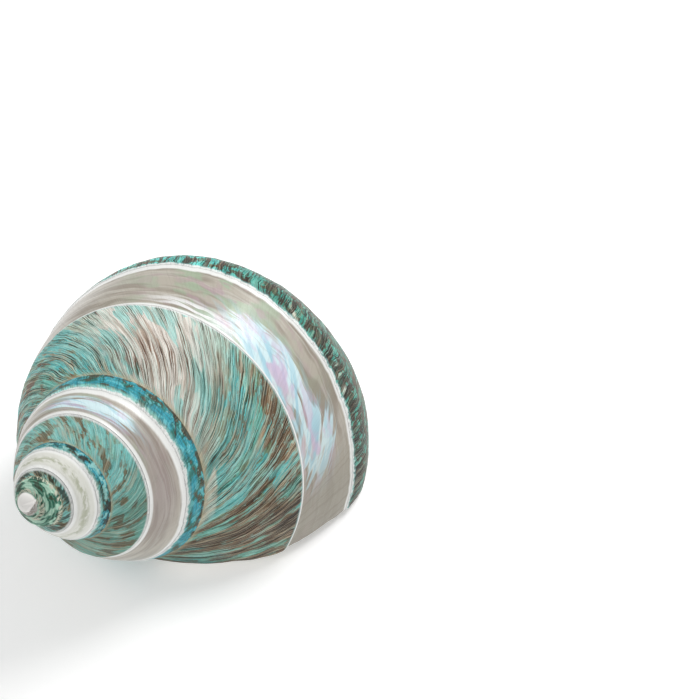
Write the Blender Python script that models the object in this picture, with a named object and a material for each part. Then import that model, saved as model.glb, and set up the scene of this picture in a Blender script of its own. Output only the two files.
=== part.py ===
"""Turban shell: one closed coiled body with an open mouth, lying on its mouth.

The whole shell grows from one rule. A section of the whorl, drawn as radius from the
coiling axis and depth below the apex, is turned about the axis and made larger by a
fixed ratio for each turn. The section's upper end and the point called the lower
suture are one growth turn apart, so each whorl is sewn to the next along its suture.

The origin is the middle of the shell's outline at the height of the table. X is the
longest way, across the coil and the last whorl, and Z is up.
"""
import math

import bpy
import numpy as np
from mathutils import Matrix, Vector

MM = 0.001
TURN = 2.0 * math.pi

# Growth of the coil
width_per_turn = 2.046
depth_per_turn = 2.023
apex_blunting = 4.7 * MM
apex_power = 1.93
coil_lean = (-0.011, -0.0046)
coil_oval = (0.0073, -0.026)

# Whorl section at the reference angle: places along it, then radius and depth.
# Place 0 is the upper suture, 1 the lower suture, 2 the end beside the axis.
suture_radius = 16.6 * MM
suture_depth = 26.2 * MM
places = (0.0, 0.25, 0.5, 0.75, 1.0, 1.2, 1.4, 1.6, 1.8, 2.0)
section_radius = (suture_radius, 22.9 * MM, 28.2 * MM, 31.7 * MM, suture_radius * width_per_turn,
                  33.3 * MM, 30.9 * MM, 25.2 * MM, 16.0 * MM, 2.8 * MM)
section_depth = (suture_depth, 31.7 * MM, 37.8 * MM, 45.1 * MM, suture_depth * depth_per_turn,
                 57.8 * MM, 63.3 * MM, 68.4 * MM, 70.6 * MM, 66.5 * MM)

# Plane of the lip: the way it faces round the axis, its lean and its distance.
# A growth line meets it between the two turns; beside the axis the line is straight.
lip_faces = math.radians(-47.5)
lip_lean = math.radians(26.0)
lip_distance = 27.86 * MM
lip_turns = (-2.2, 0.8)
straight_from = 1.7

# Pearly band, where the green layer is worn through: its two edges along the section
# at five turns, the half width of the step at each edge, and the depth of the band
band_turns = (-15.4, -9.1, -4.0, -2.8, 0.0)
band_inner = (0.20, 0.32, 0.41, 0.44, 0.53)
band_outer = (0.70, 0.70, 0.85, 0.86, 0.89)
band_step = 0.014
band_depth = 0.22 * MM
full_depth_from = -4.1

# Mouth and the hollow behind it, as an oval in the section
mouth_radius = 18.3 * MM
mouth_depth = 50.4 * MM
mouth_half_width = 12.6 * MM
mouth_half_height = 16.2 * MM
mouth_recess = 0.06
mouth_waves = 2
hollow_turn = 3.5
hollow_rings = 13

# Rim: the corner between lip and axis, and how far the lips stand out
corner_cut = 0.34
corner_rows = 6.5
rim_steps = 4
outer_lip_crown = 0.4 * MM
inner_lip_crown = 1.2 * MM
inner_lip_angle = math.radians(160.0)
inner_lip_spread = math.radians(45.0)

# Apex cap: share of the opening's width left at each ring, and the height there
cap_shares = (0.7, 0.35, 0.0)
cap_heights = (0.35 * MM, 0.65 * MM, 0.75 * MM)

# How the shell lies: the side of the coil that faces the table, and its turn on the table
rest_faces = math.radians(-46.34)
rest_lean = math.radians(29.98)
table_turn = math.radians(-67.5)

# Facets
rows_per_whorl = 40
whorl_rows = 205
shoulder_steps = 3
band_steps = 3
base_steps = 10

name = "shell"


def smooth_curve(stations, values):
    """Natural cubic curve through the values; returns a function of the place."""
    x = np.array(stations)
    y = np.array(values)
    gap = np.diff(x)
    slope = np.diff(y) / gap
    bend = np.zeros(len(x))
    system = np.diag(2.0 * (gap[:-1] + gap[1:])) + np.diag(gap[1:-1], 1) + np.diag(gap[1:-1], -1)
    bend[1:-1] = np.linalg.solve(system, 6.0 * np.diff(slope))

    def at(place):
        i = np.clip(np.searchsorted(x, place) - 1, 0, len(gap) - 1)
        left = place - x[i]
        right = x[i + 1] - place
        cubic = (bend[i] * right ** 3 + bend[i + 1] * left ** 3) / (6.0 * gap[i])
        line = (y[i] / gap[i] - bend[i] * gap[i] / 6.0) * right
        return cubic + line + (y[i + 1] / gap[i] - bend[i + 1] * gap[i] / 6.0) * left

    return at


radius_at = smooth_curve(places, section_radius)
depth_at = smooth_curve(places, section_depth)


def coil(radius, depth, turn):
    """Carry a point of the section to its place on the coil; the apex is up."""
    wide = radius * width_per_turn ** (turn / TURN)
    deep = depth * depth_per_turn ** (turn / TURN)
    deep = (deep ** apex_power + apex_blunting ** apex_power) ** (1.0 / apex_power)
    x = wide * np.cos(turn)
    y = -wide * np.sin(turn)
    across = x * (1.0 + coil_oval[0]) + y * coil_oval[1] + coil_lean[0] * deep
    along = y * (1.0 - coil_oval[0]) + x * coil_oval[1] + coil_lean[1] * deep
    return np.stack([across, along, -deep], axis=-1)


def facing(turn, lean):
    """Unit direction that points away from the axis at this turn, and down by the lean."""
    flat = math.cos(lean)
    return np.array([flat * math.cos(turn), flat * math.sin(turn), -math.sin(lean)])


def lip_turn(radius, depth):
    """Turn at which a growing point of the section meets the plane of the lip."""
    low = np.full(np.shape(radius), lip_turns[0])
    high = np.full(np.shape(radius), lip_turns[1])
    for _ in range(40):
        middle = 0.5 * (low + high)
        beyond = coil(radius, depth, middle) @ facing(lip_faces, lip_lean) > lip_distance
        high = np.where(beyond, middle, high)
        low = np.where(beyond, low, middle)
    return high


def slant(place):
    """Turn of the growth line at a place, with the lip at zero."""
    place = np.minimum(place, straight_from)
    return lip_turn(radius_at(place), depth_at(place))


def section_point(place, turn, sunk):
    """Point on the outer surface, sunk square to the section."""
    small = 0.001
    along_radius = radius_at(place + small) - radius_at(place - small)
    along_depth = depth_at(place + small) - depth_at(place - small)
    length = np.hypot(along_radius, along_depth)
    radius = radius_at(place) - sunk * along_depth / length
    depth = depth_at(place) + sunk * along_radius / length
    return coil(radius, depth, turn)


def whorl_places(age):
    """Places of one row's columns, with a column at the foot and the top of each band step."""
    inner = np.interp(age, band_turns, band_inner)
    outer = np.interp(age, band_turns, band_outer)
    shoulder = np.linspace(0.0, inner - band_step, shoulder_steps + 1)
    band = np.linspace(inner + band_step, outer - band_step, band_steps + 1)
    return np.concatenate([shoulder, band, [outer + band_step, 1.0]])


def base_places(row):
    """Places of the base's columns in one row; the corner where lip and axis meet is rounded."""
    return np.linspace(1.0, 2.0 - corner_cut * math.exp(-row / corner_rows), base_steps + 1)


def outer_sheet():
    """Rows of growth lines from the lip back to the apex, and the base under the last whorl.

    Returns the points, the grid of point numbers for the spire and for the base.
    """
    step = (TURN + slant(np.array(1.0)) - slant(np.array(0.0))) / rows_per_whorl
    points = []
    columns = len(whorl_places(0.0))
    spire = np.zeros((whorl_rows + 1, columns), dtype=int)
    for row in range(whorl_rows + 1):
        age = -row * step
        place = whorl_places(age)
        sunk = np.zeros(columns)
        sunk[shoulder_steps + 1:shoulder_steps + band_steps + 2] = band_depth * min(
            1.0, width_per_turn ** ((age - full_depth_from) / TURN))
        row_points = section_point(place, age + slant(place), sunk)
        for column in range(columns):
            if row >= rows_per_whorl and column == columns - 1:
                spire[row, column] = spire[row - rows_per_whorl, 0]
            else:
                spire[row, column] = len(points)
                points.append(row_points[column])
    base = np.zeros((rows_per_whorl + 1, base_steps + 1), dtype=int)
    for row in range(rows_per_whorl + 1):
        place = base_places(row)
        row_points = section_point(place, slant(place) - row * step, np.zeros(base_steps + 1))
        base[row, 0] = spire[row, -1]
        for column in range(1, base_steps + 1):
            base[row, column] = len(points)
            points.append(row_points[column])
    return points, spire, base


def grid_faces(grid):
    """Quads between the neighbours of a grid of point numbers."""
    corners = np.stack([grid[:-1, :-1], grid[:-1, 1:], grid[1:, 1:], grid[1:, :-1]], axis=-1)
    return corners.reshape(-1, 4).tolist()


def ring_faces(ring, following):
    """Quads between two closed rings of point numbers."""
    corners = np.stack([ring, following, np.roll(following, -1), np.roll(ring, -1)], axis=-1)
    return corners.tolist()


def mouth_loop(spire, base):
    """Edge of the outer sheet round the mouth, with the mouth's angle and turn for each point.

    The edge runs down the outer lip, back along the end beside the axis, and up the wall
    of the whorl before, to the suture where it began. The mouth's turn is a low wave
    fitted to the turns of the edge.
    """
    lip = np.concatenate([spire[0], base[0, 1:]])
    lip_places = np.concatenate([whorl_places(0.0), base_places(0)[1:]])
    axis_side = base[1:, -1]
    wall = base[-1, -2:0:-1]
    wall_places = base_places(rows_per_whorl)[-2:0:-1]
    loop = np.concatenate([lip, axis_side, wall])
    lip_angle = np.arctan2(depth_at(lip_places) - mouth_depth, radius_at(lip_places) - mouth_radius)
    before_radius = radius_at(np.append(2.0, wall_places)) / width_per_turn
    before_depth = depth_at(np.append(2.0, wall_places)) / depth_per_turn
    wall_angle = np.arctan2(before_depth - mouth_depth, before_radius - mouth_radius) + TURN
    between = np.linspace(lip_angle[-1], wall_angle[0], rows_per_whorl + 1)[1:]
    axis_turn = slant(np.array(2.0))
    lag = slant(np.array(0.0)) - slant(np.array(1.0))
    turn_between = np.linspace(axis_turn, lag + axis_turn, rows_per_whorl + 1)[1:]
    turns = np.concatenate([slant(lip_places), turn_between, lag + slant(wall_places)])
    angles = np.concatenate([lip_angle, between, wall_angle[1:]])
    waves = [np.ones_like(angles)]
    for wave in range(1, mouth_waves + 1):
        waves += [np.cos(wave * angles), np.sin(wave * angles)]
    waves = np.stack(waves, axis=-1)
    return loop, angles, waves @ np.linalg.lstsq(waves, turns, rcond=None)[0]


def rim(edge, mouth, angles):
    """Rings of the rim between the sheet's edge and the mouth, each line a low arch.

    The arch stands out a little on the outer lip, and more on the inner lip beside the axis.
    """
    inner_side = np.exp(-((angles - inner_lip_angle) / inner_lip_spread) ** 2)
    height = outer_lip_crown + (inner_lip_crown - outer_lip_crown) * inner_side
    crown = height[:, None] * facing(lip_faces, lip_lean)
    rings = []
    for step in range(1, rim_steps):
        s = step / rim_steps
        ends = edge * (1.0 - s) ** 2 * (1.0 + 2.0 * s) + mouth * s ** 2 * (3.0 - 2.0 * s)
        rings.append(ends + crown * 3.0 * s * (1.0 - s))
    return rings


def hollow(angles, turns):
    """Closed rings from the mouth back into the whorl, each a smaller oval of the section."""
    radius = mouth_radius + mouth_half_width * np.cos(angles)
    depth = mouth_depth + mouth_half_height * np.sin(angles)
    backs = mouth_recess + hollow_turn * np.arange(hollow_rings + 1) / hollow_rings
    return [coil(radius, depth, turns - back) for back in backs]


def apex_opening(spire):
    """Point numbers round the small opening that the first whorl leaves."""
    end = spire[-1, :0:-1]
    side = spire[:-rows_per_whorl - 1:-1, 0]
    return np.concatenate([end, side])


def close_with(points, faces, opening, rings, tip):
    """Sew rings of new points onto an opening, one inside the other, and end them in a tip."""
    previous = opening
    for ring in rings:
        following = np.arange(len(points), len(points) + len(ring))
        points.extend(ring)
        faces.extend(ring_faces(previous, following))
        previous = following
    faces.extend([a, len(points), b] for a, b in zip(previous, np.roll(previous, -1)))
    points.append(tip)


def rest_matrix():
    """Turn from the coil's own frame to the table's."""
    side = Vector(facing(rest_faces, rest_lean))
    laid = side.rotation_difference(Vector((0.0, 0.0, -1.0))).to_matrix()
    return np.array(Matrix.Rotation(table_turn, 3, "Z") @ laid)


def shell_points():
    """Points and faces of the closed body in the coil's frame."""
    points, spire, base = outer_sheet()
    faces = grid_faces(spire) + grid_faces(base)
    loop, angles, turns = mouth_loop(spire, base)
    inside = hollow(angles, turns)
    lips = rim(np.array([points[i] for i in loop]), inside[0], angles)
    close_with(points, faces, loop, lips + inside, inside[-1].mean(axis=0))

    opening = apex_opening(spire)
    edge = np.array([points[i] for i in opening])
    middle = edge.mean(axis=0)
    up = np.array([0.0, 0.0, 1.0])
    cap = [middle + (edge - middle) * share + up * height for share, height in zip(cap_shares, cap_heights)]
    close_with(points, faces, opening, cap[:-1], cap[-1][0])
    return np.array(points), faces


def build_shell(collection):
    """Lay the body on the table with the origin under its middle."""
    points, faces = shell_points()
    placed = points @ rest_matrix().T
    low = placed.min(axis=0)
    high = placed.max(axis=0)
    placed -= np.array([(low[0] + high[0]) / 2.0, (low[1] + high[1]) / 2.0, low[2]])
    mesh = bpy.data.meshes.new(name)
    mesh.from_pydata(placed.tolist(), [], [[int(i) for i in face] for face in faces])
    mesh.update()
    mesh.shade_smooth()
    body = bpy.data.objects.new(name, mesh)
    collection.objects.link(body)
    body.data.materials.append(polished_shell())


def polished_shell():
    """Polished shell, green over pearl."""
    material = bpy.data.materials.new("polished_shell")
    material.use_nodes = True
    shader = material.node_tree.nodes["Principled BSDF"]
    shader.inputs["Base Color"].default_value = (0.22, 0.47, 0.44, 1.0)
    shader.inputs["Roughness"].default_value = 0.3
    shader.inputs["Metallic"].default_value = 0.0
    return material


def main():
    for old in list(bpy.data.objects):
        bpy.data.objects.remove(old, do_unlink=True)
    collection = bpy.data.collections.new("turban_shell")
    bpy.context.scene.collection.children.link(collection)
    build_shell(collection)


main()
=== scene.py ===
"""Looks of the turban shell: the fine surface, its growth lines, the pearly band and the light.

The shell's outside is one sheet, r(place, turn), where place runs along the whorl's
section and turn runs round the coiling axis. Rows of the sheet are growth lines.
"""

import math
from types import SimpleNamespace

import bpy
import numpy as np
from mathutils import Matrix, Vector


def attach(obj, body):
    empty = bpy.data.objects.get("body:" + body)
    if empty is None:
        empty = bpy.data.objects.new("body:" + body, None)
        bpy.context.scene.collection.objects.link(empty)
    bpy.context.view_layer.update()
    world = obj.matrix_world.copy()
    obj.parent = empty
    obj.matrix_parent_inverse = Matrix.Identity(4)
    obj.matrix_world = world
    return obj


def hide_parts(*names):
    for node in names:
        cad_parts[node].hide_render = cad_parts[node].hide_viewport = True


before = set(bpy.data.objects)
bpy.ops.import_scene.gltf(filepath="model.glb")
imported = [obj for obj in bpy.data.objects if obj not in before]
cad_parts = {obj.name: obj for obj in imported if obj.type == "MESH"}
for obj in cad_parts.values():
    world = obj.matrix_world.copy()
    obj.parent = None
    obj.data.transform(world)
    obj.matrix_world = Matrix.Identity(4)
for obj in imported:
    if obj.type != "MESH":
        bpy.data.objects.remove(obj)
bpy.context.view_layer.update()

MM = 0.001
TURN = 2.0 * math.pi

# Growth of the coil, as in the solid part
width_per_turn = 2.046
depth_per_turn = 2.023
apex_blunting = 4.7 * MM
apex_power = 1.93
coil_lean = (-0.011, -0.0046)
coil_oval = (0.0073, -0.026)
suture_radius = 16.6 * MM
suture_depth = 26.2 * MM
places = (0.0, 0.25, 0.5, 0.75, 1.0, 1.2, 1.4, 1.6, 1.8, 2.0)
section_radius = (suture_radius, 22.9 * MM, 28.2 * MM, 31.7 * MM, suture_radius * width_per_turn,
                  33.3 * MM, 30.9 * MM, 25.2 * MM, 16.0 * MM, 2.8 * MM)
section_depth = (suture_depth, 31.7 * MM, 37.8 * MM, 45.1 * MM, suture_depth * depth_per_turn,
                 57.8 * MM, 63.3 * MM, 68.4 * MM, 70.6 * MM, 66.5 * MM)

# Lip, mouth and rest, as in the solid part
lip_faces = math.radians(-47.5)
lip_lean = math.radians(26.0)
lip_distance = 27.86 * MM
lip_turns = (-2.2, 0.8)
straight_from = 1.7
mouth_radius = 18.3 * MM
mouth_depth = 50.4 * MM
mouth_half_width = 12.6 * MM
mouth_half_height = 16.2 * MM
mouth_recess = 0.06
mouth_waves = 2
hollow_turn = 3.5
corner_cut = 0.34
corner_age = -0.85
outer_lip_crown = 0.4 * MM
inner_lip_crown = 1.2 * MM
inner_lip_angle = math.radians(160.0)
inner_lip_spread = math.radians(45.0)
rest_faces = math.radians(-46.34)
rest_lean = math.radians(29.98)
table_turn = math.radians(-67.5)
origin_shift = np.array([-18.624, -27.400, 32.563]) * MM

# Pearly band: where its two edges run along the section, at several ages of the shell
band_ages = (-28.0, -20.0, -15.4, -12.0, -9.1, -6.5, -4.0, -2.8, -1.4, 0.0)
band_inner = (0.20, 0.20, 0.20, 0.23, 0.32, 0.36, 0.41, 0.44, 0.485, 0.53)
band_outer = (0.70, 0.70, 0.70, 0.69, 0.70, 0.76, 0.83, 0.86, 0.875, 0.89)

# How far the growth lines run ahead of the plane of the lip, in radians, along the section
line_places = (0.0, 0.05, 0.10, 0.15, 0.20, 0.30, 0.40, 0.50, 0.70, 0.90, 1.0, 1.2, 1.6, 2.0)
line_ahead = (0.0, 0.06, 0.105, 0.125, 0.12, 0.075, 0.02, -0.02, -0.06, -0.08, -0.07, -0.06, -0.06, -0.06)

band_step = 0.014
band_depth = 0.22 * MM
full_depth_from = -4.1
edge_jag = 0.0055

# Length in mm of one unit of place at the lip, where the last place is as far from the axis
place_length = 33.0

# Growth in mm from the apex to the lip, along the last place of the whorl
full_length = place_length * TURN / math.log(width_per_turn)

# Ages over which the band starts, the last whorl takes over, and the second one goes before it
band_starts = (-17.3, -16.3)
body_from = (-5.5, -4.3)
second_whorl_from = (-4.3, -5.5)

# Marks that the surface and its colours share, and the noise above which a growth line is dark
crack_age = -7.21
notch_place = 0.24
dark_line_cut = (0.56, 0.58)

# Pattern values off the spire: mm added on the base, mm per radian round the mouth, steps into
# the mouth at the end of the hollow, and (length, place, age) of the cap over the first whorl
base_beyond = 5.0
mouth_girth = 16.0
deepest_step = 4.0
cap_where = (0.0, 0.4, -29.0)

# Listed patches: age, place, half width in age, half width in place, strength
cream_patches = ((-2.1, 0.25, 0.50, 0.42, 1.0), (-1.5, 0.08, 0.40, 0.12, 0.5),
                 (-0.3, 0.32, 0.2, 0.2, 0.6), (-1.60, 0.27, 0.08, 0.06, 0.8))
dark_patches = ((-0.95, 0.46, 0.45, 0.15, 0.8), (-1.3, 0.40, 0.20, 0.10, 0.5),
                (-2.55, 0.43, 0.14, 0.07, 1.0))
teal_patches = ((-2.9, 0.20, 0.7, 0.5, 0.8), (-1.2, 0.22, 0.35, 0.35, 0.7),
                (-0.88, 0.14, 0.2, 0.16, 1.8), (-1.14, 0.13, 0.12, 0.12, 1.8),
                (-1.28, 0.22, 0.14, 0.12, 1.4), (-2.68, 0.39, 0.12, 0.07, 1.2),
                (-7.8, 0.2, 3.0, 0.5, 0.8))
scar_patches = ((-0.75, 0.95, 0.05, 0.05, 1.0), (-0.65, 0.93, 0.03, 0.04, 1.0))
# The sheen patches place the painted highlight on the band
sheen_patches = ((-1.10, 0.58, 0.75, 0.20, 1.0), (-0.60, 0.64, 0.38, 0.22, 1.0),
                 (-8.2, 0.50, 1.1, 0.14, 1.0))

# Camera, as fitted to the photo
camera_eye = np.array([24.08, -90.00, 123.95]) * MM
camera_down = math.radians(45.47)
camera_roll = math.radians(-1.35)
camera_lens = 46.73
sensor_width = 36.0
nearest_seen = 0.01

# Floor and light
floor_half = 4.0
floor_glow = 0.26
world_strength = 0.52
light_aim = Vector((0.0, 0.0, 0.015))

# Grid
rows_per_whorl = 288
whorls = 5.0
shoulder_columns = 15
step_columns = 3
band_columns = 12
strip_columns = 8
base_columns = 30
rim_rings = 14
hollow_rings = 40
cap_rings = 12
cap_height = 0.75 * MM


def smooth_curve(stations, values):
    """Natural cubic curve through the values; returns a function of the place."""
    x = np.array(stations)
    y = np.array(values)
    gap = np.diff(x)
    slope = np.diff(y) / gap
    bend = np.zeros(len(x))
    system = np.diag(2.0 * (gap[:-1] + gap[1:])) + np.diag(gap[1:-1], 1) + np.diag(gap[1:-1], -1)
    bend[1:-1] = np.linalg.solve(system, 6.0 * np.diff(slope))

    def at(place):
        i = np.clip(np.searchsorted(x, place) - 1, 0, len(gap) - 1)
        left = place - x[i]
        right = x[i + 1] - place
        cubic = (bend[i] * right ** 3 + bend[i + 1] * left ** 3) / (6.0 * gap[i])
        line = (y[i] / gap[i] - bend[i] * gap[i] / 6.0) * right
        return cubic + line + (y[i + 1] / gap[i] - bend[i + 1] * gap[i] / 6.0) * left

    return at


radius_at = smooth_curve(places, section_radius)
depth_at = smooth_curve(places, section_depth)
inner_edge = smooth_curve(band_ages, band_inner)
outer_edge = smooth_curve(band_ages, band_outer)
ahead_at = smooth_curve(line_places, line_ahead)


def coil(radius, depth, turn):
    """Carry a point of the section to its place on the coil; the apex is up."""
    wide = radius * width_per_turn ** (turn / TURN)
    deep = depth * depth_per_turn ** (turn / TURN)
    deep = (deep ** apex_power + apex_blunting ** apex_power) ** (1.0 / apex_power)
    x = wide * np.cos(turn)
    y = -wide * np.sin(turn)
    across = x * (1.0 + coil_oval[0]) + y * coil_oval[1] + coil_lean[0] * deep
    along = y * (1.0 - coil_oval[0]) + x * coil_oval[1] + coil_lean[1] * deep
    return np.stack([across, along, -deep], axis=-1)


def facing(turn, lean):
    """Unit direction that points away from the axis at this turn, and down by the lean."""
    flat = math.cos(lean)
    return np.array([flat * math.cos(turn), flat * math.sin(turn), -math.sin(lean)])


def lip_turn(radius, depth):
    """Turn at which a growing point of the section meets the plane of the lip."""
    low = np.full(np.shape(radius), lip_turns[0])
    high = np.full(np.shape(radius), lip_turns[1])
    for _ in range(40):
        middle = 0.5 * (low + high)
        beyond = coil(radius, depth, middle) @ facing(lip_faces, lip_lean) > lip_distance
        high = np.where(beyond, middle, high)
        low = np.where(beyond, low, middle)
    return high


fine_places = np.linspace(0.0, straight_from, 800)
fine_slant = lip_turn(radius_at(fine_places), depth_at(fine_places))


def slant(place):
    """Turn of the growth line at a place, with the lip at zero."""
    return np.interp(place, fine_places, fine_slant)


def grain(x, y, seed):
    """Smooth random field, -1 to 1, over cells one unit across, blended by 3s^2 - 2s^3."""
    i = np.floor(x)
    j = np.floor(y)
    s = x - i
    t = y - j
    s = s * s * (3.0 - 2.0 * s)
    t = t * t * (3.0 - 2.0 * t)

    def corner(a, b):
        spread = np.sin(a * 127.1 + b * 311.7 + seed * 74.7) * 43758.5453
        return 2.0 * (spread - np.floor(spread)) - 1.0

    near = corner(i, j) * (1.0 - s) + corner(i + 1, j) * s
    far = corner(i, j + 1) * (1.0 - s) + corner(i + 1, j + 1) * s
    return near * (1.0 - t) + far * t


def ease(x, low, high):
    """0 below low, 1 above high, and 3s^2 - 2s^3 between."""
    s = np.clip((x - low) / (high - low), 0.0, 1.0)
    return s * s * (3.0 - 2.0 * s)


def hump(x, middle, width):
    """Bell of height 1: exp(-((x - middle) / width)^2)."""
    return np.exp(-((x - middle) / width) ** 2)


def grown(age):
    """Size of the whorl at an age, with the lip's as 1."""
    return width_per_turn ** (age / TURN)


def grown_length(age):
    """Length in mm of the shell's growth along the last place of the whorl, from the apex to an age."""
    return full_length * grown(age)


def line_age(age, place):
    """Age of the growth line through a point; the lines bend less as they near the lip."""
    return age - ahead_at(place) * (0.5 + 0.5 * ease(-age, 0.1, 1.1))


def band_mask(age, place):
    """1 between the two edges of the band, 0 outside them and on the first whorls."""
    inner = inner_edge(age)
    outer = outer_edge(age) + jag(age)
    past_inner = ease(place, inner - band_step, inner + band_step)
    return past_inner * (1.0 - ease(place, outer - band_step, outer + band_step)) * ease(age, *band_starts)


def growth_ridges(age, place):
    """Ridges along the growth lines, from two sizes of noise that sway, lower on small whorls."""
    length = grown_length(line_age(age, place))
    wave = 0.8 * grain(length * 0.10, place * 4.0, 1.0) + 0.35 * grain(length * 0.3, place * 11.0, 2.0)
    ridges = 0.55 * grain((length + wave) * 0.42, place * 2.5, 3.0)
    ridges += 0.45 * grain((length + wave) * 0.95, place * 4.5, 4.0)
    return ridges * 0.085 * MM * np.minimum(1.0, 1.3 * grown(age) + 0.1)


def spiral_cords(age, place):
    """Cords along the coil, 8 to a unit of place on the first whorls and 13 fine ones on the base."""
    first = 0.30 * MM * np.cos(place * TURN * 8.0) * ease(-age, 16.5, 18.5)
    fine = 0.028 * MM * np.cos(place * TURN * 13.0) * ease(place, 1.03, 1.15) * ease(-place, -1.85, -1.7)
    return (first + fine) * grown(age)


def cuts(age, place):
    """The notch in the shoulder and the crack in the second whorl's strip."""
    notch = -0.20 * MM * hump(age, -1.68, 0.035) * hump(place, notch_place, 0.035)
    crack = -0.12 * MM * hump(age + 0.8 * (place - 0.9), crack_age, 0.012) * ease(place, 0.80, 0.84)
    return notch + crack


def inside_band(age, place):
    """Small forms of the band: its hollowed middle, ripples near the lip, a ridge on older whorls."""
    inner = inner_edge(age)
    share = (place - inner) / (outer_edge(age) + jag(age) - inner)
    hollowed = -0.10 * MM * np.sin(math.pi * np.clip(share, 0.0, 1.0)) * band_mask(age, place)
    length = grown_length(line_age(age, place))
    ripple = 0.035 * MM * grain(length * 0.22 + 6.0 * place, place * 9.0, 5.0) * hump(age, -0.65, 0.35)
    ridge = 0.05 * MM * hump(place, inner + 0.13, 0.02) * ease(-age, 5.5, 6.5)
    return ripple + ridge + hollowed


def relief(age, place):
    """Height of the outside over the plain section, in metres.

    Growth lines are ridges along a row, the band is ground down between its two edges,
    the first whorls carry spiral cords, and the shell has a few old lips and scars.
    """
    length = grown_length(line_age(age, place))
    size = grown(age)
    in_band = band_mask(age, place)
    worn = band_depth * np.minimum(1.0, grown(age - full_depth_from))
    swell = 0.16 * MM * size * grain(age * 2.2, place * 2.4, 6.0)
    old_lip = 0.13 * MM * (ease(age, -0.99, -0.96) - ease(age, -0.96, -0.80)) * ease(-place, -0.36, -0.08)
    seam = 0.09 * MM * size ** 0.5 * hump(place, 0.0, 0.018) * (0.7 + 0.5 * grain(length * 1.3, 0.0, 7.0))
    raised = growth_ridges(age, place) + spiral_cords(age, place) + cuts(age, place)
    raised = raised * (1.0 - 0.92 * in_band) + old_lip * (1.0 - in_band)
    return raised + seam + swell + inside_band(age, place) * in_band - worn * in_band


def jag(age):
    """How far the band's outer edge strays along the section: three sizes of random wave."""
    length = grown_length(age)
    return edge_jag * (grain(length * 0.25, 0.0, 11.0) + 0.6 * grain(length * 0.8, 0.0, 12.0)
                       + 0.35 * grain(length * 2.0, 0.0, 13.0))


def lip_chips(age, place):
    """Small uneven advance of the lip, in radians of growth, gone a short way back."""
    green_tongue = 0.022 * ease(-place, -inner_edge(0.0), -inner_edge(0.0) + 0.03) * ease(place, 0.2, 0.45)
    chips = 0.008 * grain(place * 22.0, 0.0, 21.0) + 0.004 * grain(place * 70.0, 0.0, 22.0)
    return (green_tongue + chips * ease(place, 0.1, 0.2)) * np.exp(age / 0.10) * (1.0 - ease(place, 1.3, 1.6))


def outside_point(age, place):
    """Point of the outside: the section at its growth turn, raised square to it by the relief."""
    small = 0.001
    along_radius = radius_at(place + small) - radius_at(place - small)
    along_depth = depth_at(place + small) - depth_at(place - small)
    length = np.hypot(along_radius, along_depth)
    turn = age + slant(place) + lip_chips(age, place)
    fade = 1.0 - ease(place, 1.8, 1.95)
    raised = relief(age, place) * fade / grown(turn)
    radius = radius_at(place) + raised * along_depth / length
    depth = depth_at(place) - raised * along_radius / length
    return coil(radius, depth, turn)


def spire_places(age):
    """Places of one row's columns for each age, close together at the band's two steps."""
    inner = inner_edge(age)
    outer = outer_edge(age) + jag(age)
    stops = [(np.zeros_like(age), inner - band_step, shoulder_columns),
             (inner - band_step, inner + band_step, step_columns),
             (inner + band_step, outer - band_step, band_columns),
             (outer - band_step, outer + band_step, step_columns),
             (outer + band_step, np.ones_like(age), strip_columns)]
    runs = [start[:, None] + (end - start)[:, None] * np.arange(count) / count for start, end, count in stops]
    return np.concatenate(runs + [np.ones((len(age), 1))], axis=1)


def base_places(age):
    """Places of the base's columns for each age; the corner where lip and axis meet is rounded."""
    end = 2.0 - corner_cut * np.exp(age / -corner_age)
    return 1.0 + (end - 1.0)[:, None] * np.arange(base_columns + 1) / base_columns


def corners(grid, flip=False):
    """The four corners of each cell of a grid, as one array with four entries a cell."""
    around = [grid[:-1, :-1], grid[:-1, 1:], grid[1:, 1:], grid[1:, :-1]]
    if flip:
        around.reverse()
    cells = np.stack(around, axis=2)
    return cells.reshape((-1,) + grid.shape[2:])


def mouth_around(lip_places, wall_places, lip_turns_here):
    """Angle round the mouth and turn of the mouth's ring for each point of the sheet's edge."""
    lip_angle = np.arctan2(depth_at(lip_places) - mouth_depth, radius_at(lip_places) - mouth_radius)
    before_radius = radius_at(np.append(2.0, wall_places)) / width_per_turn
    before_depth = depth_at(np.append(2.0, wall_places)) / depth_per_turn
    wall_angle = np.arctan2(before_depth - mouth_depth, before_radius - mouth_radius) + TURN
    between = np.linspace(lip_angle[-1], wall_angle[0], rows_per_whorl + 1)[1:]
    lag = slant(0.0) - slant(1.0)
    turn_between = np.linspace(slant(2.0), lag + slant(2.0), rows_per_whorl + 1)[1:]
    turns = np.concatenate([lip_turns_here, turn_between, lag + slant(wall_places)])
    angles = np.concatenate([lip_angle, between, wall_angle[1:]])
    waves = [np.ones_like(angles)]
    for wave in range(1, mouth_waves + 1):
        waves += [np.cos(wave * angles), np.sin(wave * angles)]
    waves = np.stack(waves, axis=-1)
    return angles, waves @ np.linalg.lstsq(waves, turns, rcond=None)[0]


def rim_rings_of(edge, mouth, angles):
    """Rings from the edge to the mouth: edge (1-s)^2(1+2s) + mouth s^2(3-2s) + crown 3s(1-s)."""
    inner_side = hump(angles, inner_lip_angle, inner_lip_spread)
    height = outer_lip_crown + (inner_lip_crown - outer_lip_crown) * inner_side
    crown = height[:, None] * facing(lip_faces, lip_lean)
    s = (np.arange(1, rim_rings) / rim_rings)[:, None, None]
    ends = edge * (1.0 - s) ** 2 * (1.0 + 2.0 * s) + mouth * s ** 2 * (3.0 - 2.0 * s)
    return ends + crown * 3.0 * s * (1.0 - s)


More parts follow.
